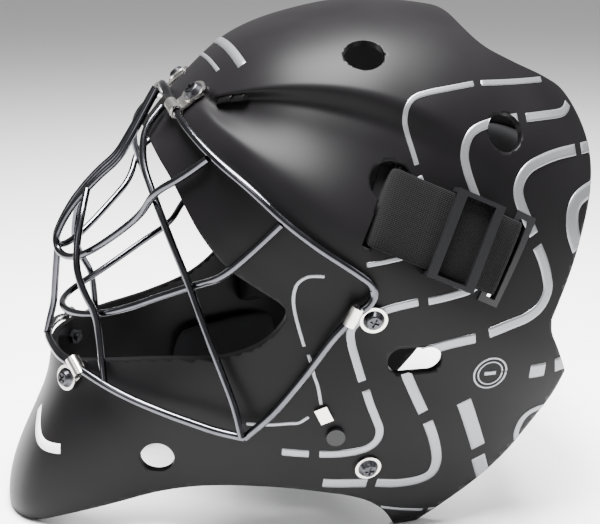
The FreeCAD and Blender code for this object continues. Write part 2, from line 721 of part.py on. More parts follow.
def bandGrid(side, start, end, wide, alongCount, acrossCount, liftAt):
    # points over the skin on a band seen from the side, lifted clear of the skin
    direction = (end[0] - start[0], end[1] - start[1])
    reach = math.hypot(direction[0], direction[1])
    direction = (direction[0] / reach, direction[1] / reach)
    rows = []
    for i in range(alongCount):
        t = i / (alongCount - 1.0)
        row = []
        for j in range(acrossCount):
            v = wide * (j / (acrossCount - 1.0) - 0.5)
            y = start[0] + (end[0] - start[0]) * t - direction[1] * v
            z = start[1] + (end[1] - start[1]) * t + direction[0] * v
            point, normal = skinAt(y, z, side)
            row.append(point + normal * liftAt(t, v))
        rows.append(row)
    return rows


def solidBetween(name, outer, inner):
    return feature(name, closeBetween(outer, inner))


def strapLift(t, v):
    # the strap rises a little where the buckle's lower bar passes under it
    return 1.0 + 2.6 * smooth((t - 0.16) / 0.26) * (1.0 - smooth((t - 0.82) / 0.16))


def makeStraps():
    pieces = []
    thick = size("strapThick")
    for side, tag in ((1, "left"), (-1, "right")):
        start = (STRAP_FRONT[0] + 2.0, STRAP_FRONT[1] - 1.0)
        end = (STRAP_REAR[0] - 7.0, STRAP_REAR[1] + 3.2)
        inner = bandGrid(side, start, end, size("strapWidth"), 13, 9, strapLift)
        outer = bandGrid(side, start, end, size("strapWidth"), 13, 9, lambda t, v: strapLift(t, v) + thick)
        pieces.append(solidBetween("side_strap_" + tag, outer, inner))
        # the sewn-in bar that stops the strap inside the front slot
        point, normal = skinAt(STRAP_FRONT[0], STRAP_FRONT[1], side)
        along = alongSkin(STRAP_FRONT, (STRAP_FRONT[0] + 9, STRAP_FRONT[1] - 4.5), side)
        bar = primitive("Part::Box", "strap_stop_" + tag, Width="Dims.strapWidth + 8")
        bar.Length, bar.Height = 11.0, 3.5
        frame = frameAt(point - normal * (WALL + 7.0), normal, along)
        bar.Placement = frame.multiply(FreeCAD.Placement(V(-5.5, -24.0, 0), FreeCAD.Rotation()))
        pieces.append(bar)
    return pieces


def buckleFrame(side):
    t = 0.60
    y = STRAP_FRONT[0] + (STRAP_REAR[0] - STRAP_FRONT[0]) * t
    z = STRAP_FRONT[1] + (STRAP_REAR[1] - STRAP_FRONT[1]) * t
    point, normal = skinAt(y, z, side)
    along = alongSkin((y - 12, z + 5.5), (y + 12, z - 5.5), side)
    level = V(normal.x, along.y * 0, normal.z)
    return frameAt(point, normal, along)


def makeBuckles():
    # three-bar slide: two bars over the strap, one under it, joined by side rails
    thick = size("strapThick")
    base = primitive("Part::Box", "buckle_blank", Length="Dims.buckleLength", Width="Dims.buckleWidth")
    base.Height = 8.2
    base.Placement = FreeCAD.Placement(V(-13.5, -23.5, 1.4), FreeCAD.Rotation())
    tunnel = primitive("Part::Box", "buckle_tunnel", Width="Dims.strapWidth + 2.4")
    tunnel.Length, tunnel.Height = 60.0, thick + 2.4
    tunnel.Placement = FreeCAD.Placement(V(-30, -21.2, 2.6), FreeCAD.Rotation())
    window = primitive("Part::Box", "buckle_window", Width="Dims.strapWidth + 2.4")
    window.Length, window.Height = 17.0, 12.0
    window.Placement = FreeCAD.Placement(V(-8.5, -21.2, 4.0), FreeCAD.Rotation())
    under = []
    for k, x in ((0, -33.0), (1, 3.0)):
        cut = primitive("Part::Box", "buckle_under_%d" % k, Width="Dims.strapWidth + 2.4")
        cut.Length, cut.Height = 30.0, 6.0
        cut.Placement = FreeCAD.Placement(V(x, -21.2, -2.0), FreeCAD.Rotation())
        under.append(cut)
    tools = fused("buckle_cutters", [tunnel, window] + under)
    template = boolean("Part::Cut", "buckle_template", base, tools)
    doc.recompute()
    pieces = []
    for side, tag in ((1, "left"), (-1, "right")):
        pieces.append(feature("strap_buckle_" + tag, copies(template, [buckleFrame(side)])))
    return pieces


CUP_HALF = 77.0
CUP_LOW = 112.0
CUP_HIGH = 222.0


def cupPoint(x, z, depth):
    # dished plate behind the head: curved both ways, depth counts forward
    y = 168.0 - 30.0 * abs(x / CUP_HALF) ** 2.2 - 15.0 * ((z - 162.0) / 58.0) ** 2
    return V(x, y - depth, z)


def cupPatch(name, half, low, high, nearDepth, farDepth):
    xs = [-half + 2 * half * k / 16.0 for k in range(17)]
    zs = [low + (high - low) * k / 12.0 for k in range(13)]
    outer = [[cupPoint(x, z, nearDepth) for z in zs] for x in xs]
    inner = [[cupPoint(x, z, farDepth) for z in zs] for x in xs]
    return solidBetween(name, outer, inner)


def roundedPlan(name, half, low, high, power):
    # superellipse outline seen from behind, carried along Y
    count = 28
    points = []
    for k in range(count):
        angle = 2.0 * math.pi * k / count
        c, s = math.cos(angle), math.sin(angle)
        x = half * math.copysign(abs(c) ** (2.0 / power), c)
        z = 0.5 * (low + high) + 0.5 * (high - low) * math.copysign(abs(s) ** (2.0 / power), s)
        points.append(V(x, 60, z))
    curve = Part.BSplineCurve()
    curve.interpolate(points, PeriodicFlag=True)
    return feature(name, Part.Face(Part.Wire([curve.toShape()])).extrude(V(0, 160, 0)))


def makeCup():
    wall = size("cupWall")
    blank = cupPatch("cup_blank", CUP_HALF + 3, CUP_LOW - 3, CUP_HIGH + 3, 0.0, wall)
    plan = roundedPlan("cup_plan", CUP_HALF - 1, CUP_LOW, CUP_HIGH, 3.2)
    trimmed = doc.addObject("Part::Common", "cup_trimmed")
    trimmed.Base = blank
    trimmed.Tool = plan
    ears = []
    bores = []
    for side in (1, -1):
        ear = primitive("Part::Cylinder", "cup_ear_%d" % (side + 1))
        ear.Radius, ear.Height = 9.5, 7.0
        ear.Placement = FreeCAD.Placement(V(side * CUP_EAR[0], CUP_EAR[1], CUP_EAR[2]),
                                          FreeCAD.Rotation(V(0, 0, 1), V(-side, 0, 0)))
        ears.append(ear)
        bore = primitive("Part::Cylinder", "cup_bore_%d" % (side + 1))
        bore.Radius, bore.Height = 2.57, 30.0
        bore.Placement = FreeCAD.Placement(V(side * (CUP_EAR[0] + 6), CUP_EAR[1], CUP_EAR[2]),
                                           FreeCAD.Rotation(V(0, 0, 1), V(-side, 0, 0)))
        bores.append(bore)
        recess = primitive("Part::Cylinder", "cup_recess_%d" % (side + 1))
        recess.Radius, recess.Height = 5.6, 12.0
        recess.Placement = FreeCAD.Placement(V(side * (CUP_EAR[0] - 4.0), CUP_EAR[1], CUP_EAR[2]),
                                             FreeCAD.Rotation(V(0, 0, 1), V(-side, 0, 0)))
        bores.append(recess)
    for k, (x, z) in enumerate(((0.0, 196.0), (0.0, 138.0), (-36.0, 167.0), (36.0, 167.0))):
        slot = primitive("Part::Box", "cup_slot_%d" % k)
        slot.Length, slot.Width, slot.Height = (34.0, 60.0, 9.0) if x == 0 else (9.0, 60.0, 34.0)
        slot.Placement = FreeCAD.Placement(V(x - slot.Length.Value / 2, 120, z - slot.Height.Value / 2),
                                           FreeCAD.Rotation())
        bores.append(slot)
    solid = fused("cup_solid", [trimmed] + ears)
    cup = boolean("Part::Cut", "rear_cup", solid, fused("cup_cutters", bores))
    padStart = wall + 0.5
    padBlank = cupPatch("cup_pad_blank", 56.0, 120.0, 214.0, padStart, padStart + size("cupPadThick"))
    padPlan = roundedPlan("cup_pad_plan", 54.0, 122.0, 212.0, 3.0)
    cupPad = doc.addObject("Part::Common", "rear_cup_pad")
    cupPad.Base = padBlank
    cupPad.Tool = padPlan
    return [cup, cupPad]


def makeTails():
    pieces = []
    thick = size("strapThick")
    level = CUP_EAR[0] + 0.4 + thick / 2.0
    for side, tag in ((1, "left"), (-1, "right")):
        stops = [(95.0, 109.0), (91.5, 115.0), (86.5, 122.0), (level + 0.6, 129.0), (level, 136.0), (level, 149.0)]
        outer, inner = [], []
        for k, (x, y) in enumerate(stops):
            a = stops[max(0, k - 1)]
            b = stops[min(len(stops) - 1, k + 1)]
            away = V(b[1] - a[1], -(b[0] - a[0]), 0)
            away.normalize()
            if k >= 4:
                away = V(1, 0, 0)
            rowOut, rowIn = [], []
            for t in (-0.5, -0.25, 0.0, 0.25, 0.5):
                lean = 9.0 * t * (1.0 - k / 5.0)
                spot = V(x, y + lean, CUP_EAR[2] + 38.0 * t - 2.0 * (1.0 - k / 5.0))
                for row, shift in ((rowOut, 0.5), (rowIn, -0.5)):
                    p = spot + away * (thick * shift)
                    row.append(V(p.x * side, p.y, p.z))
            outer.append(rowOut)
            inner.append(rowIn)
        band = solidBetween("tail_blank_" + tag, outer, inner)
        hole = primitive("Part::Cylinder", "tail_hole_" + tag)
        hole.Radius, hole.Height = 2.55, 20.0
        hole.Placement = FreeCAD.Placement(V(side * (level + 10), CUP_EAR[1], CUP_EAR[2]),
                                           FreeCAD.Rotation(V(0, 0, 1), V(-side, 0, 0)))
        pieces.append(boolean("Part::Cut", "strap_tail_" + tag, band, hole))
    shank = primitive("Part::Cylinder", "rivet_shank")
    shank.Radius, shank.Height = 2.5, 9.4
    shank.Placement = FreeCAD.Placement(V(0, 0, -5.6), FreeCAD.Rotation())
    head = primitive("Part::Cone", "rivet_head")
    head.Radius1, head.Radius2, head.Height = 5.4, 3.2, 1.6
    head.Placement = FreeCAD.Placement(V(0, 0, 3.2), FreeCAD.Rotation())
    foot = primitive("Part::Cylinder", "rivet_foot")
    foot.Radius, foot.Height = 4.6, 1.2
    foot.Placement = FreeCAD.Placement(V(0, 0, -6.6), FreeCAD.Rotation())
    template = fused("rivet_template", [shank, head, foot])
    doc.recompute()
    frames = [FreeCAD.Placement(V(side * CUP_EAR[0], CUP_EAR[1], CUP_EAR[2]),
                                FreeCAD.Rotation(V(0, 0, 1), V(side, 0, 0))) for side in (1, -1)]
    pieces.append(feature("cup_rivets", copies(template, frames)))
    return pieces


def makeSmallParts():
    pieces = []
    buttonFrames = []
    for side, tag in ((1, "left"), (-1, "right")):
        inner = bandGrid(side, (STRAP_REAR[0] - 5.5, STRAP_REAR[1] + 2.8), (STRAP_REAR[0] + 5.5, STRAP_REAR[1] - 2.8),
                         50.0, 5, 11, lambda t, v: 0.1)
        outer = bandGrid(side, (STRAP_REAR[0] - 5.5, STRAP_REAR[1] + 2.8), (STRAP_REAR[0] + 5.5, STRAP_REAR[1] - 2.8),
                         50.0, 5, 11, lambda t, v: 0.8)
        blank = solidBetween("trim_blank_" + tag, outer, inner)
        cutter = slotCutter("trim_slot_" + tag, (STRAP_REAR[0] - 8.9, STRAP_REAR[1] + 4.5),
                            (STRAP_REAR[0] + 8.9, STRAP_REAR[1] - 4.5), side, 44.0,
                            "Dims.strapSlotWidth + 1", 5.6, "Dims.strapSlotGap + 0.6")
        pieces.append(boolean("Part::Cut", "slot_trim_" + tag, blank, cutter))
        point, normal = skinAt(TAB_PLACE[0], TAB_PLACE[1], side)
        along = alongSkin(TAB_PLACE, TAB_SCREW, side)
        plate = primitive("Part::Box", "throat_hook_" + tag)
        plate.Length, plate.Width, plate.Height = 9.0, 7.0, 1.6
        frame = frameAt(point + normal * 0.35, normal, along)
        plate.Placement = frame.multiply(FreeCAD.Placement(V(-5.5, -3.5, 0), FreeCAD.Rotation()))
        pieces.append(plate)
        point, normal = skinAt(TAB_SCREW[0], TAB_SCREW[1], side)
        buttonFrames.append(frameAt(point + normal * 0.35, normal, along))
    button = primitive("Part::Cylinder", "button_template")
    button.Radius, button.Height = 5.0, 2.4
    doc.recompute()
    pieces.append(feature("throat_buttons", copies(button, buttonFrames)))
    return pieces


# ---------------------------------------------------------------- build and write
kept = [makeShell()]
kept += makePads()
kept += makeCage()
kept += makeFixings()
kept += makeStraps()
kept += makeBuckles()
kept += makeCup()
kept += makeTails()
kept += makeSmallParts()
doc.recompute()
# everything is moved so that the middle of the overall box is over the origin
move = FreeCAD.Placement(V(0, -size("centreShift"), 0), FreeCAD.Rotation())
for piece in kept:
    piece.Placement = move.multiply(piece.Placement)
doc.recompute()

failed = [item.Name for item in doc.Objects if "Invalid" in item.State or "Error" in item.State]
if failed:
    raise RuntimeError("failed: " + ", ".join(failed))
os.makedirs("parts", exist_ok=True)
poor = []
for piece in kept:
    piece.Label = piece.Name
    shape = piece.Shape
    if shape.isNull() or not shape.isValid() or not shape.Solids:
        poor.append(piece.Label)
if poor:
    raise RuntimeError("no valid solid: " + ", ".join(poor))
for piece in kept:
    piece.Shape.exportStep("parts/%s.step" % piece.Label)
print("%d sub-parts written" % len(kept))
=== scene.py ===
import json
import math
import bmesh
import bpy
import numpy as np
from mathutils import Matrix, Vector


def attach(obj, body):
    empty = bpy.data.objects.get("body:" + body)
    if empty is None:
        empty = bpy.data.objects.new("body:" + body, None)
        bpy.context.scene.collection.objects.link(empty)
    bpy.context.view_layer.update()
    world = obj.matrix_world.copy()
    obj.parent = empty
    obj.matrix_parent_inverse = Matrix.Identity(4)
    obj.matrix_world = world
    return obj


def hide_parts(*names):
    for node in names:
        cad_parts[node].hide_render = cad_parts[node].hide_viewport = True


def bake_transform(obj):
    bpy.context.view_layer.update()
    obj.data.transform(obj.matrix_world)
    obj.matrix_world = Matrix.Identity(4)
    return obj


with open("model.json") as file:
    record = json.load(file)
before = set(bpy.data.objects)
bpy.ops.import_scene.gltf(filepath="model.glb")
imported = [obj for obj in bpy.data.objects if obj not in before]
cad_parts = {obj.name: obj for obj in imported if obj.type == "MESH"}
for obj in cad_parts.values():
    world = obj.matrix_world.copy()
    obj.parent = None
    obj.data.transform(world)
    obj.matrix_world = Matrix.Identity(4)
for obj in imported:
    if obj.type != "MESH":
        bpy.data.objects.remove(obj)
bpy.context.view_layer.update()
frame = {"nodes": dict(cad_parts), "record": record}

print("frame loaded:", len(frame["nodes"]), "nodes")

# camera: level on the wearer's left, a little forward of square on, looking slightly down
view = dict(place=(0.650, -0.11876, 0.322), look=(-0.9433, 0.1935, -0.2696), focal=69.0)
cameraData = bpy.data.cameras.new("studioCamera")
cameraData.lens = view["focal"]
cameraData.sensor_width = 36.0
camera = bpy.data.objects.new("studioCamera", cameraData)
bpy.context.scene.collection.objects.link(camera)
camera.location = view["place"]
camera.rotation_euler = Vector(view["look"]).to_track_quat("-Z", "Y").to_euler()
bpy.context.scene.camera = camera


# materials
def linear(hexColour):
    # sRGB hex to linear red, green, blue
    values = [int(hexColour[k:k + 2], 16) / 255.0 for k in (0, 2, 4)]
    return [v / 12.92 if v <= 0.04045 else ((v + 0.055) / 1.055) ** 2.4 for v in values] + [1.0]


def addNode(tree, kind, settings=None, links=None, **props):
    # one node, its properties, its socket values and the links that feed it
    node = tree.nodes.new(kind)
    for name, value in props.items():
        setattr(node, name, value)
    for name, value in (settings or {}).items():
        node.inputs[name].default_value = value
    for name, source in (links or {}).items():
        tree.links.new(source, node.inputs[name])
    return node


def newMaterial(name, shaderValues):
    material = bpy.data.materials.new(name)
    material.use_nodes = True
    tree = material.node_tree
    shader = tree.nodes["Principled BSDF"]
    for key, value in shaderValues.items():
        shader.inputs[key].default_value = value
    return material, tree, shader


def shellPaint():
    # satin two-pack black paint over moulded fibre shell: broad soft highlight, very fine orange peel,
    # slightly greyer where hands have polished it
    material, tree, shader = newMaterial("satinBlackPaintOnShell", {
        "Metallic": 0.0, "Roughness": 0.42, "IOR": 1.5, "Specular IOR Level": 0.07})
    place = addNode(tree, "ShaderNodeTexCoord").outputs["Object"]
    cloud = addNode(tree, "ShaderNodeTexNoise", {"Scale": 14.0, "Detail": 3.0}, {"Vector": place})
    ramp = addNode(tree, "ShaderNodeValToRGB", None, {"Fac": cloud.outputs["Fac"]})
    ramp.color_ramp.elements[0].position, ramp.color_ramp.elements[0].color = 0.35, linear("0a090a")
    ramp.color_ramp.elements[1].position, ramp.color_ramp.elements[1].color = 0.68, linear("0f0e0f")
    tree.links.new(ramp.outputs["Color"], shader.inputs["Base Color"])
    rough = addNode(tree, "ShaderNodeMapRange", {"To Min": 0.38, "To Max": 0.47}, {"Value": cloud.outputs["Fac"]})
    tree.links.new(rough.outputs["Result"], shader.inputs["Roughness"])
    peel = addNode(tree, "ShaderNodeTexNoise", {"Scale": 900.0, "Detail": 2.0}, {"Vector": place})
    bump = addNode(tree, "ShaderNodeBump", {"Strength": 0.10, "Distance": 0.00012}, {"Height": peel.outputs["Fac"]})
    tree.links.new(bump.outputs["Normal"], shader.inputs["Normal"])
    return material


def blackChrome():
    # welded steel wire, black-chrome plated: dark mirror with hard bright streaks and faint plating cloud
    material, tree, shader = newMaterial("blackChromedSteelWire", {"Metallic": 1.0, "Roughness": 0.14})
    place = addNode(tree, "ShaderNodeTexCoord").outputs["Object"]
    cloud = addNode(tree, "ShaderNodeTexNoise", {"Scale": 120.0, "Detail": 3.0}, {"Vector": place})
    tint = addNode(tree, "ShaderNodeValToRGB", None, {"Fac": cloud.outputs["Fac"]})
    tint.color_ramp.elements[0].color, tint.color_ramp.elements[1].color = linear("3a3a3e"), linear("56565b")
    tree.links.new(tint.outputs["Color"], shader.inputs["Base Color"])
    rough = addNode(tree, "ShaderNodeMapRange", {"To Min": 0.10, "To Max": 0.22}, {"Value": cloud.outputs["Fac"]})
    tree.links.new(rough.outputs["Result"], shader.inputs["Roughness"])
    return material


def brightNickel():
    # stamped steel, bright nickel plated: pale warm mirror with light handling haze
    material, tree, shader = newMaterial("brightNickelPlatedSteel", {"Metallic": 1.0, "Roughness": 0.18})
    place = addNode(tree, "ShaderNodeTexCoord").outputs["Object"]
    haze = addNode(tree, "ShaderNodeTexNoise", {"Scale": 260.0, "Detail": 4.0}, {"Vector": place})
    tint = addNode(tree, "ShaderNodeValToRGB", None, {"Fac": haze.outputs["Fac"]})
    tint.color_ramp.elements[0].color, tint.color_ramp.elements[1].color = linear("b9b6b1"), linear("d8d6d2")
    tree.links.new(tint.outputs["Color"], shader.inputs["Base Color"])
    rough = addNode(tree, "ShaderNodeMapRange", {"To Min": 0.12, "To Max": 0.30}, {"Value": haze.outputs["Fac"]})
    tree.links.new(rough.outputs["Result"], shader.inputs["Roughness"])
    return material


def speckled(name, lowHex, highHex, scale, roughness, bumpDistance, strength, metallic=0.0, extra=None):
    # shared by the moulded, coated and printed finishes: one fine noise drives colour and bump
    values = {"Metallic": metallic, "Roughness": roughness, "IOR": 1.5}
    values.update(extra or {})
    material, tree, shader = newMaterial(name, values)
    place = addNode(tree, "ShaderNodeTexCoord").outputs["Object"]
    grain = addNode(tree, "ShaderNodeTexNoise", {"Scale": scale, "Detail": 4.0, "Roughness": 0.6}, {"Vector": place})
    tint = addNode(tree, "ShaderNodeValToRGB", None, {"Fac": grain.outputs["Fac"]})
    tint.color_ramp.elements[0].position, tint.color_ramp.elements[1].position = 0.35, 0.68
    tint.color_ramp.elements[0].color, tint.color_ramp.elements[1].color = linear(lowHex), linear(highHex)
    tree.links.new(tint.outputs["Color"], shader.inputs["Base Color"])
    bump = addNode(tree, "ShaderNodeBump", {"Strength": strength, "Distance": bumpDistance},
                   {"Height": grain.outputs["Fac"]})
    tree.links.new(bump.outputs["Normal"], shader.inputs["Normal"])
    return material


def webbing():
    # woven polyester elastic: 1.2 mm ribs across the band, darker gaps between the threads (own UV, metres)
    material, tree, shader = newMaterial("wovenPolyesterWebbing", {
        "Metallic": 0.0, "Roughness": 0.85, "IOR": 1.5, "Specular IOR Level": 0.08,
        "Sheen Weight": 0.02, "Sheen Roughness": 0.5})
    place = addNode(tree, "ShaderNodeTexCoord").outputs["UV"]
    ribs = addNode(tree, "ShaderNodeTexWave", {"Scale": 0.314 / 0.0012, "Distortion": 0.3, "Detail": 1.0},
                   {"Vector": place}, wave_type="BANDS", bands_direction="X")
    threads = addNode(tree, "ShaderNodeTexWave", {"Scale": 0.314 / 0.0009, "Distortion": 0.2, "Detail": 1.0},
                      {"Vector": place}, wave_type="BANDS", bands_direction="Y")
    weave = addNode(tree, "ShaderNodeMath", None, {0: ribs.outputs["Fac"], 1: threads.outputs["Fac"]},
                    operation="MULTIPLY")
    tint = addNode(tree, "ShaderNodeValToRGB", None, {"Fac": weave.outputs["Value"]})
    tint.color_ramp.elements[0].color, tint.color_ramp.elements[1].color = linear("040404"), linear("0c0c0d")
    tree.links.new(tint.outputs["Color"], shader.inputs["Base Color"])
    bump = addNode(tree, "ShaderNodeBump", {"Strength": 0.8, "Distance": 0.0004}, {"Height": weave.outputs["Value"]})
    tree.links.new(bump.outputs["Normal"], shader.inputs["Normal"])
    return material


finishes = {
    "shell_paint": shellPaint(),
    "black_chrome_wire": blackChrome(),
    "nickel_plate": brightNickel(),
    # closed-cell EVA foam, skived: dull, slightly open cells of about 0.5 mm
    "eva_foam": speckled("closedCellEvaFoam", "0c0c0d", "151517", 1900.0, 0.9, 0.0003, 0.6,
                         extra={"Specular IOR Level": 0.12}),
    # zinc plated then blacked steel screws
    "black_screw": speckled("blackenedSteelScrew", "2a2a2c", "4a4a4e", 700.0, 0.32, 0.00005, 0.3, metallic=1.0),
    "webbing": webbing(),
    # acetal and nylon mouldings with a fine spark-eroded texture
    "black_plastic": speckled("mouldedBlackNylon", "0b0b0c", "131315", 1600.0, 0.36, 0.00008, 0.35,
                         extra={"Specular IOR Level": 0.22}),
    "cup_plastic": speckled("mouldedBlackPolypropylene", "111113", "1a1a1d", 1300.0, 0.5, 0.0001, 0.4,
                         extra={"Specular IOR Level": 0.25}),
    "grey_trim": speckled("mouldedDarkAcetal", "0f0f10", "19191b", 1200.0, 0.34, 0.00006, 0.3,
                         extra={"Specular IOR Level": 0.22}),
}
# screen-printed silver ink under clear coat: grey metallic flakes about 0.3 mm
silverInk = speckled("silverInkUnderClearcoat", "66676a", "77787b", 2600.0, 0.36, 0.00002, 0.2, metallic=0.6,
                     extra={"Coat Weight": 0.3, "Coat Roughness": 0.2})
# screen-printed white ink, matt and dense
whiteInk = speckled("whiteScreenPrintInk", "d8d8d8", "e8e8e8", 900.0, 0.4, 0.00003, 0.2)

slotOf = {entry["node"]: entry["material_slot"] for entry in frame["record"]["subparts"]}
for name, thing in frame["nodes"].items():
    thing.data.materials.clear()
    thing.data.materials.append(finishes[slotOf[name]])
print("materials made")

# the shape of the shell
shape = dict(centreShift=4.76, hubY=20.0, hubZ=150.0, halfWidth=118.0, fullness=2.4, wall=3.6,
             outline=[198, 195, 191, 183, 176, 166, 157, 148, 142, 135, 131, 127,
                      120, 117, 114, 119, 123, 128, 134, 145, 158, 174, 250, 221,
                      214, 204, 200, 198, 199, 203, 207, 211, 213, 212, 209, 203])


def smooth(value):
    # eased step: 3t^2 - 2t^3 between 0 and 1
    value = np.clip(value, 0.0, 1.0)
    return value * value * (3.0 - 2.0 * value)


def outlineRadius(angle):
    # closed uniform cubic spline over the side-view angle, control radii every ten degrees
    controls = np.array(shape["outline"], float)
    count = len(controls)
    place = (angle / (2.0 * np.pi) * count) % count
    index = np.floor(place).astype(int)
    part = place - index
    a, b, c, d = [controls[(index + k) % count] for k in (-1, 0, 1, 2)]
    return ((1 - part) ** 3 * a + (3 * part ** 3 - 6 * part ** 2 + 4) * b
            + (-3 * part ** 3 + 3 * part ** 2 + 3 * part + 1) * c + part ** 3 * d) / 6.0


def sideInset(y, z):
    # temple hollow between the fold and the ridge, and the undercut below the ridge
    fold = 249.0 - 0.0038 * (y - 2.0) ** 2
    ridge = 199.0 - 0.80 * y + 0.0010 * y * y
    across = (z - ridge) / np.maximum(14.0, fold - ridge)
    depth = 10.0 * smooth((118.0 - y) / 105.0)
    hollow = depth * smooth(across / 0.72) * (1.0 - smooth((across - 0.84) / 0.24))
    return hollow + 7.0 * smooth((ridge - z) / 60.0)


def skinPoint(beta, lam):
    # superellipse between half width and side outline along the direction
    # (sin beta sin lam, -cos lam, cos beta sin lam), narrowed to the face and pressed in at the sides
    dx = np.sin(beta) * np.sin(lam)
    dy = -np.cos(lam)
    dz = np.cos(beta) * np.sin(lam)
    power = shape["fullness"]
    reach = (np.abs(dx) / shape["halfWidth"]) ** power
    reach = reach + (np.hypot(dy, dz) / outlineRadius(np.arctan2(dz, dy))) ** power
    reach = reach ** (-1.0 / power)
    x, y, z = reach * dx, shape["hubY"] + reach * dy, shape["hubZ"] + reach * dz
    narrow = (0.14 + 0.19 * smooth((190.0 - z) / 80.0)) * smooth((25.0 - y) / 110.0)
    x = x * (1.0 - narrow)
    x = x - np.sign(x) * sideInset(y, z) * smooth((np.abs(x) - 28.0) / 45.0)
    return np.stack([x, y, z], axis=-1)


def skinNormal(beta, lam):
    # cross product of the two central differences, turned outward
    step = 0.004
    across = skinPoint(beta + step, lam) - skinPoint(beta - step, lam)
    along = skinPoint(beta, lam + step) - skinPoint(beta, lam - step)
    normal = np.cross(across, along)
    normal /= np.linalg.norm(normal, axis=-1, keepdims=True)
    outward = skinPoint(beta, lam) - np.array([0, shape["hubY"], shape["hubZ"]])
    turn = np.sign(np.sum(normal * outward, axis=-1, keepdims=True))
    return normal * turn


def layerPoint(beta, lam, depth):
    return skinPoint(beta, lam) - skinNormal(beta, lam) * np.asarray(depth)[..., None]


def directionAt(y, z, depth=0.0):
    # beta and lam of the layer point seen at (y, z) from the left side, closed in on step by step
    y, z = np.asarray(y, float), np.asarray(z, float)
    ty, tz = y.copy(), z.copy()
    for turn in range(30):
        dy, dz = ty - shape["hubY"], tz - shape["hubZ"]
        fraction = np.minimum(0.999, np.hypot(dy, dz) / outlineRadius(np.arctan2(dz, dy)))
        power = shape["fullness"]
        dx = shape["halfWidth"] * (1.0 - fraction ** power) ** (1.0 / power)
        lam = np.arccos(-dy / np.sqrt(dx * dx + dy * dy + dz * dz))
        beta = np.arctan2(dx, dz)
        here = layerPoint(beta, lam, depth + 0.0 * ty)
        ty = ty + (y - here[..., 1]) * 0.8
        tz = tz + (z - here[..., 2]) * 0.8
    return beta, lam


def skinAt(y, z, side=1, lift=0.0):
    # points over the skin at side-view places, lifted along the normal
    beta, lam = directionAt(y, z)
    normal = skinNormal(beta, lam)
    point = skinPoint(beta, lam) + normal * np.asarray(lift)[..., None]
    flip = np.array([side, 1.0, 1.0])
    return point * flip, normal * flip


def makeObject(name, vertices, faces, material, body, uvs=None):
    # vertices are in millimetres in the drawing frame; body None leaves the piece without a body
    mesh = bpy.data.meshes.new(name)
    places = (np.asarray(vertices).reshape(-1, 3) - [0.0, shape["centreShift"], 0.0]) / 1000.0
    mesh.from_pydata(places.tolist(), [], np.asarray(faces).tolist())
    mesh.update()
    thing = bpy.data.objects.new(name, mesh)
    bpy.context.scene.collection.objects.link(thing)
    mesh.materials.append(material)
    mesh.polygons.foreach_set("use_smooth", np.ones(len(mesh.polygons), bool))
    if uvs is not None:
        layer = mesh.uv_layers.new(name="UVMap")
        loops = np.zeros(len(mesh.loops), int)
        mesh.loops.foreach_get("vertex_index", loops)
        layer.data.foreach_set("uv", np.asarray(uvs, float).reshape(-1, 2)[loops].ravel())
    if body:
        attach(thing, body)
    return thing


def gridFaces(rows, columns, closeRows=False, closeColumns=False, flip=False):
    # quads of a row-major grid
    i = np.arange(rows if closeRows else rows - 1)
    j = np.arange(columns if closeColumns else columns - 1)
    i, j = np.meshgrid(i, j, indexing="ij")
    a = i * columns + j
    b = i * columns + (j + 1) % columns
    c = ((i + 1) % rows) * columns + (j + 1) % columns
    d = ((i + 1) % rows) * columns + j
    quads = np.stack([a, b, c, d], axis=-1).reshape(-1, 4)
    return quads[:, ::-1] if flip else quads


def splinePoints(points, spacing):
    # Catmull-Rom curve through the points, resampled at even spacing
    points = np.array(points, float)
    padded = np.vstack([2 * points[0] - points[1], points, 2 * points[-1] - points[-2]])
    t = np.linspace(0, 1, 24, endpoint=False)[:, None]
    pieces = []
    for k in range(len(points) - 1):
        p0, p1, p2, p3 = padded[k:k + 4]
        pieces.append(0.5 * (2 * p1 + (p2 - p0) * t + (2 * p0 - 5 * p1 + 4 * p2 - p3) * t ** 2
                             + (3 * p1 - p0 - 3 * p2 + p3) * t ** 3))
    curve = np.vstack(pieces + [points[-1:]])
    length = np.concatenate([[0], np.cumsum(np.linalg.norm(np.diff(curve, axis=0), axis=1))])
    count = max(2, int(round(length[-1] / spacing)) + 1)
    even = np.linspace(0, length[-1], count)
    return np.stack([np.interp(even, length, curve[:, k]) for k in range(curve.shape[1])], axis=1)


def weld(thing, distance=0.00002):
    # merges the doubled rim where two grids meet and turns the faces outward
    work = bmesh.new()
    work.from_mesh(thing.data)
    bmesh.ops.remove_doubles(work, verts=work.verts, dist=distance)
    bmesh.ops.recalc_face_normals(work, faces=work.faces)
    work.to_mesh(thing.data)
    work.free()
    thing.data.update()
    return thing


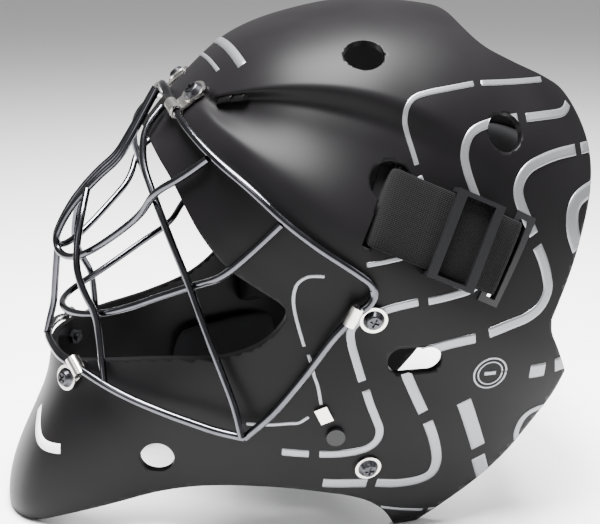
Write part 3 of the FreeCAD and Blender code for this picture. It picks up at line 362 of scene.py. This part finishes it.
# shell: two skins a wall apart, joined at their rims, trimmed to the side outline and opened
# side-view places (y, z); each inner list is one smooth run and the runs join with straight lines
shellCut = dict(
    beta=340, lam=170, reach=(16.0, 153.0), span=160.0,
    outline=[[(-220, 330), (95, 330)],
             [(95, 286), (98, 277), (106, 268), (121, 260), (141, 251), (153, 243), (161, 228), (164, 212),
              (162, 194), (156, 175), (148, 153), (136, 126)],
             [(136, 126), (137, 118), (142, 108), (149, 93)],
             [(149, 93), (141, 74), (124, 48), (105, 28), (86, 12), (72, 0)],
             [(58, 0), (49, 14), (37, 24), (19, 31), (-6, 34), (-37, 31), (-68, 24), (-96, 16), (-124, 8), (-146, 0)],
             [(-220, 0)]],
    face=[[(-220, 226)],
          [(-72, 223), (-67, 212), (-61, 201), (-50, 178), (-37, 161), (-23, 151), (-11, 143), (-9, 136),
           (-17, 124), (-29, 115), (-44, 109), (-65, 105.5), (-85, 103), (-101, 101), (-118, 98)],
          [(-220, 94)]],
    vents=[((37, 266), 10.5), ((107, 227), 10.5), ((-74, 46), 9.5), ((44, 205), 11.0)],
    bolts=[((-45, 243), 2.7), ((34, 137), 2.7), ((-119, 88), 2.7), ((36, 48), 2.7)],
    # place, length, width, corner radius, points on each corner and where the long side points
    slots=[((38, 194), 43.0, 5.0, 0.5, 4, (-4.5, -8.9)), ((106, 163), 43.0, 5.0, 0.5, 4, (-4.5, -8.9)),
           ((58, 111), 29.5, 15.0, 7.49, 12, (6, 0))],
    # how far the cutters reach under and over the skin
    ventDepth=(-30.0, 25.0), slotDepth=(-14.0, 12.0))


def cutterObject(name, rings):
    # prisms from matching rings of points, joined into one mesh
    work = bmesh.new()
    for near, far in rings:
        a = [work.verts.new(point) for point in near]
        b = [work.verts.new(point) for point in far]
        count = len(a)
        work.faces.new(a)
        work.faces.new(b[::-1])
        for k in range(count):
            work.faces.new([a[k], b[k], b[(k + 1) % count], a[(k + 1) % count]])
    bmesh.ops.recalc_face_normals(work, faces=work.faces)
    mesh = bpy.data.meshes.new(name)
    work.to_mesh(mesh)
    work.free()
    cutter = bpy.data.objects.new(name, mesh)
    bpy.context.scene.collection.objects.link(cutter)
    return cutter


def sideRing(runs):
    # side-view outline as two rings, one beyond each ear
    line = np.vstack([splinePoints(run, 1.0) if len(run) > 2 else np.array(run, float) for run in runs])
    line = line[np.linalg.norm(line - np.roll(line, 1, axis=0), axis=1) > 1e-6]
    y = line[:, 0] - shape["centreShift"]
    return [np.stack([np.full(len(line), x), y, line[:, 1]], axis=1) / 1000
            for x in (-shellCut["span"], shellCut["span"])]


def localRing(place, toward, side, plan, reach):
    # plan outline set square to the skin at a place, its long side pointing along a side-view step
    point, normal = [item[0] for item in skinAt(np.array([place[0]]), np.array([place[1]]), side, 0.0)]
    ahead = skinAt(np.array([place[0] + toward[0]]), np.array([place[1] + toward[1]]), side, 0.0)[0][0] - point
    ahead -= normal * ahead.dot(normal)
    ahead /= np.linalg.norm(ahead)
    beside = np.cross(normal, ahead)
    flat = point + plan[:, :1] * ahead + plan[:, 1:] * beside
    return [(flat + normal * height - [0, shape["centreShift"], 0]) / 1000 for height in reach]


def roundPlan(radius, count):
    turn = np.linspace(0, 2 * np.pi, count, endpoint=False)
    return np.stack([radius * np.cos(turn), radius * np.sin(turn)], axis=1)


def slotPlan(length, width, corner, count):
    # rectangle with rounded corners: a quarter turn about each corner's centre
    halfX, halfY = 0.5 * length - corner, 0.5 * width - corner
    turn = np.radians(np.linspace(0, 90, count))
    quarters = []
    for x, y, start in ((halfX, halfY, 0.0), (-halfX, halfY, 90.0), (-halfX, -halfY, 180.0), (halfX, -halfY, 270.0)):
        angle = turn + math.radians(start)
        quarters.append(np.stack([x + corner * np.cos(angle), y + corner * np.sin(angle)], axis=1))
    return np.vstack(quarters)


def skinTube(depthOut, depthIn):
    # outer and inner skins as one closed band: rows go round the head, columns run back outside and forward inside
    # rows crowd round the fold: spacing goes with 1 / (1 + 2.4 exp(-((|beta| - 0.6) / 0.24)^2))
    fine = np.linspace(-np.pi, np.pi, 6001)
    crowd = np.cumsum(1.0 + 2.4 * np.exp(-((np.abs(fine) - 0.6) / 0.24) ** 2))
    share = (crowd - crowd[0]) / (crowd[-1] - crowd[0])
    beta = np.interp(np.arange(shellCut["beta"]) / shellCut["beta"], share, fine)
    lam = np.radians(np.linspace(*shellCut["reach"], shellCut["lam"]))
    betas, lams = np.meshgrid(beta, lam, indexing="ij")
    outer, inner = layerPoint(betas, lams, depthOut + 0 * betas), layerPoint(betas, lams, depthIn + 0 * betas)
    points = np.concatenate([outer, inner[:, ::-1]], axis=1)
    return points.reshape(-1, 3), gridFaces(points.shape[0], points.shape[1], closeRows=True, closeColumns=True)


def cut(thing, cutter, operation):
    step = thing.modifiers.new("cut", "BOOLEAN")
    step.operation, step.object, step.solver = operation, cutter, "EXACT"
    bpy.context.view_layer.update()
    done = bpy.data.meshes.new_from_object(thing.evaluated_get(bpy.context.evaluated_depsgraph_get()))
    thing.modifiers.clear()
    old = thing.data
    thing.data = done
    bpy.data.meshes.remove(old)
    bpy.data.objects.remove(cutter)


mouldedShell = weld(makeObject("mouldedShell", *skinTube(0.0, shape["wall"]), finishes["shell_paint"], None))
roundHoles, flatSlots = [], []
for side in (1, -1):
    for place, radius in shellCut["vents"]:
        roundHoles.append(localRing(place, (9, 0), side, roundPlan(radius, 64), shellCut["ventDepth"]))
    for place, radius in shellCut["bolts"]:
        roundHoles.append(localRing(place, (9, 0), side, roundPlan(radius, 32), shellCut["slotDepth"]))
    for place, length, width, corner, count, toward in shellCut["slots"]:
        flatSlots.append(localRing(place, toward, side, slotPlan(length, width, corner, count), shellCut["slotDepth"]))
cut(mouldedShell, cutterObject("sideOutline", [sideRing(shellCut["outline"])]), "INTERSECT")
cut(mouldedShell, cutterObject("faceOpening", [sideRing(shellCut["face"])]), "DIFFERENCE")
cut(mouldedShell, cutterObject("roundHoles", roundHoles), "DIFFERENCE")
cut(mouldedShell, cutterObject("flatSlots", flatSlots), "DIFFERENCE")
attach(mouldedShell, "mask_frame")
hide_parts("shell")
print("shell faces:", len(mouldedShell.data.polygons))

# screen-printed stripes, badge rings, forehead bars and chin band
# way-points are side-view places (y, z); width is across the stripe
stripes = dict(
    hair=dict(width=1.5, runs=[
        [(9, 160), (4, 160), (0, 159), (-4, 155), (-5.5, 148), (-5, 141), (-3, 132), (0, 121)],
        [(2, 117), (4, 110), (5, 105), (7, 99), (9, 88)],
        [(3, 81), (-2, 77), (-7, 76), (-17, 74), (-28, 73)],
        [(47, 17), (59, 13), (74, 9)], [(77, 9), (84, 8), (90, 8)]]),
    fine=dict(width=2.4, runs=[
        [(138, 250), (115, 250.5), (97, 251)],
        [(93, 251), (79, 249.5), (67, 248), (59, 246), (54.5, 242), (53, 236), (54, 229), (58, 213)],
        [(59, 208), (60.5, 204), (62, 199)], [(54, 170), (42, 168), (29, 166)]]),
    medium=dict(width=4.2, runs=[
        [(154, 237), (151, 234.5), (146, 233), (133, 233), (121, 233)],
        [(116, 233.5), (99, 232), (89, 229), (84.5, 224), (83, 217), (84, 210), (86, 203), (89, 195)],
        [(93, 156), (90, 152), (85, 149), (75, 147), (62, 145)],
        [(57, 145), (47, 143), (40, 141), (32, 138), (26, 134.5), (23, 130), (23.5, 123), (26, 114), (30, 101)],
        [(32, 96), (35, 87), (39, 77), (41, 71), (40, 65), (35, 60.5), (26, 58.5), (9, 58)],
        [(4, 58), (-3, 58), (-10, 58)]]),
    broad=dict(width=5.6, runs=[
        [(173, 213), (165, 214), (157, 214)],
        [(153, 214), (141, 213.5), (131, 212), (121, 209), (115, 204), (112.5, 197), (115, 188), (122, 174)],
        [(124, 168), (128, 160), (131, 151), (132, 143), (128, 135), (120, 130), (108, 127), (97, 124)],
        [(90, 122), (80, 120.5), (71, 118.5), (61, 115), (55, 111), (53.5, 105), (57, 96), (65, 79)],
        [(68, 73), (72, 63), (75, 53), (76, 45), (74, 38), (67, 34.5), (55, 34), (42, 36)],
        [(37, 36.5), (24, 38), (12, 39)]]),
    widest=dict(width=8.2, runs=[
        [(168, 194), (156, 191), (150, 187), (147.5, 181), (148, 172), (152, 162)],
        [(148, 99), (144, 98.5), (141, 98)], [(135, 97), (130, 97), (125, 97)],
        [(88, 83), (91, 76), (95, 66), (101, 51)], [(102, 44), (106, 34), (111, 24)]]),
    hook=dict(width=3.2, runs=[[(143, 71), (136, 70.5), (130, 68), (126.5, 63), (125, 56), (126, 50)]]))
ink = dict(lift=0.32, tuck=-0.12, skirt=0.12, spacing=0.9, fromEdge=0.5)
# how far back the shell reaches at each height (heights, then places)
rearEdge = [(0, 12, 28, 48, 74, 93, 108, 118, 126, 153, 175, 194, 212, 228, 243, 251),
            (72, 86, 105, 124, 141, 149, 142, 137, 136, 148, 156, 162, 164, 161, 153, 141)]
# rims of the vents, temple hole, screws and the two ends of the ear slot
holes = [((37, 266), 10.7), ((107, 227), 10.7), ((44, 205), 11.2), ((-74, 46), 9.7),
         ((65.2, 111), 7.7), ((50.8, 111), 7.7), ((58, 111), 7.7), ((36, 48), 7.0)]


def ribbonOnSkin(points, width, side):
    # swept strip: for each way-point row seven places across, lifted by the ink thickness and tucked at the rims
    line = splinePoints(points, ink["spacing"])
    tangent = np.gradient(line, axis=0)
    tangent /= np.linalg.norm(tangent, axis=1, keepdims=True)
    across = np.stack([-tangent[:, 1], tangent[:, 0]], axis=1)
    half = 0.5 * width
    offsets = np.array([-half - ink["skirt"], -half, -0.5 * half, 0.0, 0.5 * half, half, half + ink["skirt"]])
    lifts = np.array([ink["tuck"]] + [ink["lift"]] * 5 + [ink["tuck"]])
    places = line[:, None, :] + across[:, None, :] * offsets[None, :, None]
    rear = np.interp(places[..., 1], rearEdge[0], rearEdge[1]) - ink["fromEdge"]
    places[..., 0] = np.minimum(places[..., 0], rear)
    lift = np.broadcast_to(lifts, places.shape[:2]).copy()
    lift[0], lift[-1] = ink["tuck"], ink["tuck"]
    point, normal = skinAt(places[..., 0], places[..., 1], side, lift)
    faces = gridFaces(len(line), 7, flip=side < 0)
    point = point.reshape(-1, 3)
    for spot, radius in holes:
        # the ink stops at the rim: faces wholly inside go, corners left inside are drawn out to the rim
        heart = skinAt(np.array([spot[0]]), np.array([spot[1]]), side, 0.0)[0][0]
        gap = point - heart
        apart = np.linalg.norm(gap, axis=1)
        inside = apart < radius
        faces = faces[~inside[faces].all(axis=1)]
        point[inside] = heart + gap[inside] * (radius / apart[inside])[:, None]
    return point, faces


def joinParts(parts):
    # stacks vertex and face blocks of several strips
    vertices, faces, count = [], [], 0
    for points, quads in parts:
        vertices.append(points)
        faces.append(quads + count)
        count += len(points)
    return np.vstack(vertices), np.vstack(faces)


def ringPoints(centre, radius, sweep=np.linspace(0, 2 * np.pi, 37)):
    return [(centre[0] + radius * math.cos(a), centre[1] + radius * math.sin(a)) for a in sweep]


badge = dict(centre=(101, 99.5), rings=[(9.2, 0.9), (6.9, 0.7)], bar=[(97.5, 99.5), (104.5, 99.5)])
for side, tag in ((1, "Left"), (-1, "Right")):
    parts = [ribbonOnSkin(run, group["width"], side) for group in stripes.values() for run in group["runs"]]
    weld(makeObject("printedStripes" + tag, *joinParts(parts), silverInk, "mask_frame"))
    rings = [ribbonOnSkin(ringPoints(badge["centre"], radius), width, side) for radius, width in badge["rings"]]
    rings.append(ribbonOnSkin(badge["bar"], 2.2, side))
    weld(makeObject("printedBadge" + tag, *joinParts(rings), silverInk, "mask_frame"))


def directionOf(x, y, z):
    # beta and lam of the skin point lying in the direction of (x, y, z) from the hub
    target = np.stack([x, y, z], axis=-1)
    aim = target.copy()
    for turn in range(25):
        dx, dy, dz = aim[..., 0], aim[..., 1] - shape["hubY"], aim[..., 2] - shape["hubZ"]
        lam = np.arccos(-dy / np.sqrt(dx * dx + dy * dy + dz * dz))
        beta = np.arctan2(dx, dz)
        aim = aim + (target - skinPoint(beta, lam)) * 0.7
    return beta, lam


def bandOnFront(points, width):
    # strip through points given in space, pressed onto the skin; across is the skin direction square to the path
    line = splinePoints(points, 1.5)
    beta, lam = directionOf(line[:, 0], line[:, 1], line[:, 2])
    base, normal = skinPoint(beta, lam), skinNormal(beta, lam)
    tangent = np.gradient(base, axis=0)
    across = np.cross(normal, tangent)
    across /= np.linalg.norm(across, axis=1, keepdims=True)
    half = 0.5 * width
    offsets = np.array([-half - ink["skirt"], -half, 0.0, half, half + ink["skirt"]])
    lifts = np.array([ink["tuck"]] + [ink["lift"]] * 3 + [ink["tuck"]])
    wide = base[:, None, :] + across[:, None, :] * offsets[None, :, None]
    beta, lam = directionOf(wide[..., 0], wide[..., 1], wide[..., 2])
    lift = np.broadcast_to(lifts, beta.shape).copy()
    lift[0], lift[-1] = ink["tuck"], ink["tuck"]
    placed = skinPoint(beta, lam) + skinNormal(beta, lam) * lift[..., None]
    return placed.reshape(-1, 3), gridFaces(len(line), 5)


# points in space (x, y, z) and a width for each band
front = dict(
    browBars=[([(-52, -22, 259), (0, -26, 268), (52, -22, 259)], 5.0),
              ([(-40, -34, 257), (0, -37, 263), (40, -34, 257)], 2.2)],
    chinBands=[([(46, -126, 49), (30, -133, 53), (12, -137, 62)], 5.5),
               ([(-46, -126, 49), (-30, -133, 53), (-12, -137, 62)], 5.5)])
for name, bands, printColour in (("printedBrowBars", front["browBars"], silverInk),
                                 ("printedChinBands", front["chinBands"], whiteInk)):
    weld(makeObject(name, *joinParts([bandOnFront(*band) for band in bands]), printColour, "mask_frame"))
print("printing on the shell done")

# foam pads: beta and lam are the directions covered in degrees, thick is the foam
padForm = dict(behindSkin=4.6, rim=0.10, fill=0.95, weldDistance=0.00005)
pads = dict(
    forehead_pad=dict(beta=(-33, 33), lam=(62, 80), thick=12.0),
    crown_pad=dict(beta=(-21, 21), lam=(86, 114), thick=12.0),
    chin_pad=dict(beta=(166, 194), lam=(25, 36), thick=9.6))
for region, beta, lam in (("temple", (50, 82), (68, 88)), ("cheek", (103, 121), (79, 93)),
                          ("jaw", (125, 138), (62, 90))):
    for side, tag in ((1, "left"), (-1, "right")):
        pads[region + "_pad_" + tag] = dict(beta=(side * beta[0], side * beta[1]), lam=lam, thick=12.0)


def pillowGrid(count=57):
    # even angles make rows crowd at the rim: u = sin(pi s / 2); corners drawn in by the fourth powers;
    # height ((1 - u^6)(1 - v^6))^0.4 is full across the middle and rolls over at the edge
    s = np.sin(np.linspace(-0.5 * np.pi, 0.5 * np.pi, count))
    u, v = np.meshgrid(s, s, indexing="ij")
    height = (np.clip(1 - np.abs(u) ** 6, 0, 1) * np.clip(1 - np.abs(v) ** 6, 0, 1)) ** 0.4
    return u * (1 - 0.09 * v ** 4), v * (1 - 0.09 * u ** 4), height


def makePad(name, placeAt, body, nodeName):
    # two faces on one grid, welded at the rim: the back lies on the shell, the inner face rises by the height
    u, v, height = pillowGrid()
    rim = padForm["rim"]
    back, inner = placeAt(u, v, rim * (1 - height)), placeAt(u, v, rim + (1 - rim) * height)
    count = u.shape[0]
    faces = np.vstack([gridFaces(count, count), gridFaces(count, count, flip=True) + count * count])
    points = np.vstack([back.reshape(-1, 3), inner.reshape(-1, 3)])
    pad = weld(makeObject(name, points, faces, finishes["eva_foam"], body), padForm["weldDistance"])
    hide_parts(nodeName)
    return pad


def shellPadPlace(entry):
    (b0, b1), (l0, l1) = np.radians(entry["beta"]), np.radians(entry["lam"])

    def placeAt(u, v, share):
        beta = 0.5 * (b0 + b1) + 0.5 * (b1 - b0) * u
        lam = 0.5 * (l0 + l1) + 0.5 * (l1 - l0) * v
        base = layerPoint(beta, lam, padForm["behindSkin"] + 0 * u)
        inward = np.array([0, shape["hubY"], shape["hubZ"]]) - base
        inward /= np.linalg.norm(inward, axis=-1, keepdims=True)
        return base + inward * (share * entry["thick"])[..., None]
    return placeAt


for nodeName, entry in pads.items():
    makePad(nodeName + "_foam", shellPadPlace(entry), "mask_frame", nodeName)

cup = dict(halfWidth=54.0, low=122.0, high=212.0, behindFace=3.7, thick=10.0)


def cupPadPlace(u, v, share):
    # dished face of the rear cup: y = 168 - 30 |x / 77|^2.2 - 15 ((z - 162) / 58)^2, less the depth
    x = cup["halfWidth"] * u
    z = 0.5 * (cup["low"] + cup["high"]) + 0.5 * (cup["high"] - cup["low"]) * v
    y = 168 - 30 * np.abs(x / 77) ** 2.2 - 15 * ((z - 162) / 58) ** 2 - cup["behindFace"] - share * cup["thick"]
    return np.stack([x, y, z], axis=-1)


makePad("rear_cup_foam", cupPadPlace, "rear_cup", "rear_cup_pad")
print("foam pads made")

# webbing: side straps run into their slots, tails run from the rear slots to the cup
# the tail's path is (x, y) places level with the cup's ears; the keeper is a printed edge in the side view
strap = dict(start=(38.0, 194.0), end=(106.0, 163.0), width=39.6, thick=2.3, spacing=1.1)
tailForm = dict(path=[(95, 109), (91.5, 115), (86.5, 122), (81.4, 129), (80.6, 136), (80.6, 149)],
                level=166.0, width=37.6, thick=2.3, spacing=1.2)
keeper = dict(path=[(100.2, 177.5), (97.0, 171.5), (93.8, 165.5)], width=2.0, raised=3.2)


def bandSection(width, thick):
    # flat oval: half width times |cos|^0.35 and half thickness times |sin|^0.55, so the edges round over
    angle = np.linspace(0, 2 * np.pi, 40, endpoint=False)
    c, s = np.cos(angle), np.sin(angle)
    return 0.5 * width * np.sign(c) * np.abs(c) ** 0.35, 0.5 * thick * np.sign(s) * np.abs(s) ** 0.55


def sweptBand(name, centre, width, thick, body):
    # centre gives the path of each thread as rows of points; thickness goes along (across x tangent)
    offsets, rise = bandSection(width, thick)
    points = centre(offsets)
    tangent = np.gradient(points, axis=0)
    side = np.broadcast_to(points[:, :1] - points[:, 20:21], points.shape)
    up = np.cross(side, tangent)
    up /= np.linalg.norm(up, axis=-1, keepdims=True)
    points = points + up * rise[None, :, None]
    rows, columns = points.shape[:2]
    length = np.concatenate([[0], np.cumsum(np.linalg.norm(np.diff(points[:, 0], axis=0), axis=1))])
    uv = np.stack(np.broadcast_arrays(length[:, None] / 1000, offsets[None, :] / 1000), axis=-1)
    quads = gridFaces(rows, columns, closeColumns=True)
    thing = makeObject(name, points.reshape(-1, 3), quads, finishes["webbing"], body, uvs=uv.reshape(-1, 2))
    work = bmesh.new()
    work.from_mesh(thing.data)
    bmesh.ops.holes_fill(work, edges=work.edges, sides=0)
    bmesh.ops.recalc_face_normals(work, faces=work.faces)
    work.to_mesh(thing.data)
    work.free()
    return thing


for side, tag in ((1, "left"), (-1, "right")):
    begin, end = np.array(strap["start"]), np.array(strap["end"])
    reach = np.linalg.norm(end - begin)
    along = (end - begin) / reach
    # distance along and height over the skin: up out of the front slot, across, down into the rear slot
    stations = splinePoints([(0.0, -8.0), (0.3, -2.5), (1.3, 0.6), (4.0, 2.1), (14.0, 2.3), (22.0, 3.2), (30.0, 4.6),
                             (55.0, 4.6), (62.0, 3.4), (68.0, 2.2), (reach - 2.2, 1.9), (reach - 0.6, 0.4),
                             (reach, -2.5), (reach + 0.4, -8.0)], strap["spacing"])

    def strapCentre(offsets, side=side, stations=stations):
        place = begin + along * stations[:, None, 0:1] + np.array([-along[1], along[0]]) * offsets[None, :, None]
        lift = np.broadcast_to(stations[:, 1:2], place.shape[:2])
        return skinAt(place[..., 0], place[..., 1], side, lift)[0]

    band = sweptBand("side_strap_webbing_" + tag, strapCentre, strap["width"], strap["thick"], "mask_frame")
    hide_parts("side_strap_" + tag)
    stops = splinePoints(tailForm["path"], tailForm["spacing"])

    def tailCentre(offsets, side=side, stops=stops):
        rows = np.broadcast_arrays(side * stops[:, None, 0], stops[:, None, 1], tailForm["level"] + offsets[None, :])
        return np.stack(rows, axis=-1)

    keeperPoints, keeperFaces = ribbonOnSkin(keeper["path"], keeper["width"], side)
    middle = keeper["path"][1]
    rise = skinAt(np.array([middle[0]]), np.array([middle[1]]), side, 0.0)[1][0] * keeper["raised"]
    weld(makeObject("strapKeeperEdge_" + tag, keeperPoints + rise, keeperFaces, silverInk, "mask_frame"))

    tail = sweptBand("strap_tail_webbing_" + tag, tailCentre, tailForm["width"], tailForm["thick"], None)
    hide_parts("strap_tail_" + tag)
    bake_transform(tail)
print("webbing made")

# floor and light
stage = dict(half=30.0, level=-0.0005, paper="f4f4f4", sky="f6f6f6", skyStrength=0.45, aim=(0.0, 0.0, 0.16))
floorMesh = bpy.data.meshes.new("studioFloor")
corners = [(x * stage["half"], y * stage["half"], stage["level"]) for x, y in ((-1, -1), (1, -1), (1, 1), (-1, 1))]
floorMesh.from_pydata(corners, [], [(0, 1, 2, 3)])
floor = bpy.data.objects.new("studioFloor", floorMesh)
bpy.context.scene.collection.objects.link(floor)
paper = newMaterial("palePaperSweep", {"Base Color": linear(stage["paper"]), "Roughness": 0.85})[0]
floorMesh.materials.append(paper)

world = bpy.data.worlds.new("studioWorld")
bpy.context.scene.world = world
world.use_nodes = True
sky = world.node_tree.nodes["Background"]
sky.inputs["Color"].default_value = linear(stage["sky"])
sky.inputs["Strength"].default_value = stage["skyStrength"]

# place and side in metres, power in watts: one strong box overhead, two faint ones for the sides
softboxes = dict(topSoftbox=((0.15, -0.02, 1.15), 0.6, 125.0), keySoftbox=((0.75, -0.85, 0.95), 0.5, 3.0),
                 rearSoftbox=((0.35, 1.2, 0.9), 0.5, 3.0))
for name, (place, size, power) in softboxes.items():
    lampData = bpy.data.lights.new(name, "AREA")
    lampData.shape = "SQUARE"
    lampData.size = size
    lampData.energy = power
    lamp = bpy.data.objects.new(name, lampData)
    bpy.context.scene.collection.objects.link(lamp)
    lamp.location = place
    lamp.rotation_euler = (Vector(stage["aim"]) - Vector(place)).to_track_quat("-Z", "Y").to_euler()
print("stage and light set")
